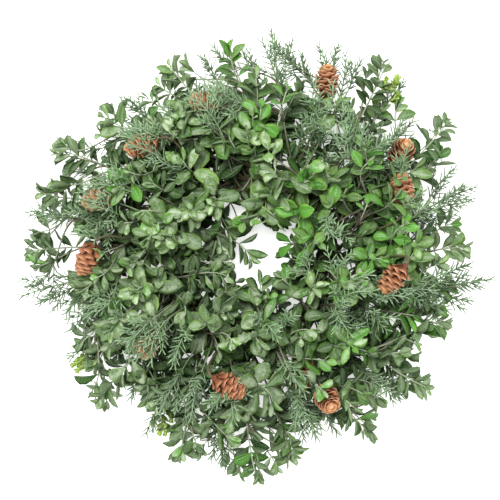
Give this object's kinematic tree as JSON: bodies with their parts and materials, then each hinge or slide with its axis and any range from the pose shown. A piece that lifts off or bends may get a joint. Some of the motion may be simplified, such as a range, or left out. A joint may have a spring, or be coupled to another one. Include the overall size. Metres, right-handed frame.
{
  "type": "evergreen wreath",
  "caption": "Round fresh evergreen wreath of boxwood and juniper sprigs with small brown cones and yellow-green bud tips, bound with wire on a ring of twisted vine canes.",
  "frame": {"origin": "middle of the underside of the wreath's bounding box, on the surface it lies on", "axes": "+Z out of the wreath's front, +X to the right and +Y to the top as the front is seen"},
  "size_m": [0.5638, 0.5422, 0.1343],
  "materials": {
    "vine_bark": "rough dark brown bark",
    "binding_wire": "dark green painted wire",
    "cone_scales": "dry matt terracotta brown scales",
    "boxwood_leaf": "satin green with a paler bloom",
    "juniper_needle": "matt sage green",
    "young_bud": "satin yellow-green"
  },
  "bodies": {
    "root": {"binding_wire": "binding_wire", "boxwood_sprig_01": "boxwood_leaf", "boxwood_sprig_02": "boxwood_leaf", "boxwood_sprig_03": "boxwood_leaf", "boxwood_sprig_04": "boxwood_leaf", "boxwood_sprig_05": "boxwood_leaf", "boxwood_sprig_06": "boxwood_leaf", "boxwood_sprig_07": "boxwood_leaf", "boxwood_sprig_08": "boxwood_leaf", "boxwood_sprig_09": "boxwood_leaf", "boxwood_sprig_10": "boxwood_leaf", "boxwood_sprig_11": "boxwood_leaf", "boxwood_sprig_12": "boxwood_leaf", "boxwood_sprig_13": "boxwood_leaf", "boxwood_sprig_14": "boxwood_leaf", "boxwood_sprig_15": "boxwood_leaf", "boxwood_sprig_16": "boxwood_leaf", "boxwood_sprig_17": "boxwood_leaf", "boxwood_sprig_18": "boxwood_leaf", "boxwood_sprig_19": "boxwood_leaf", "boxwood_sprig_20": "boxwood_leaf", "boxwood_sprig_21": "boxwood_leaf", "boxwood_sprig_22": "boxwood_leaf", "boxwood_sprig_23": "boxwood_leaf", "boxwood_sprig_24": "boxwood_leaf", "boxwood_sprig_25": "boxwood_leaf", "boxwood_sprig_26": "boxwood_leaf", "boxwood_sprig_27": "boxwood_leaf", "boxwood_sprig_28": "boxwood_leaf", "budded_sprig_01": "young_bud", "budded_sprig_02": "young_bud", "budded_sprig_03": "young_bud", "cone_01": "cone_scales", "cone_02": "cone_scales", "cone_03": "cone_scales", "cone_04": "cone_scales", "cone_05": "cone_scales", "cone_06": "cone_scales", "cone_07": "cone_scales", "cone_08": "cone_scales", "cone_09": "cone_scales", "cone_10": "cone_scales", "cone_11": "cone_scales", "cone_12": "cone_scales", "juniper_sprig_01": "juniper_needle", "juniper_sprig_02": "juniper_needle", "juniper_sprig_03": "juniper_needle", "juniper_sprig_04": "juniper_needle", "juniper_sprig_05": "juniper_needle", "juniper_sprig_06": "juniper_needle", "juniper_sprig_07": "juniper_needle", "juniper_sprig_08": "juniper_needle", "juniper_sprig_09": "juniper_needle", "juniper_sprig_10": "juniper_needle", "juniper_sprig_11": "juniper_needle", "juniper_sprig_12": "juniper_needle", "vine_cane_1": "vine_bark", "vine_cane_2": "vine_bark", "vine_cane_3": "vine_bark", "vine_cane_4": "vine_bark"}
  },
  "joints": []
}
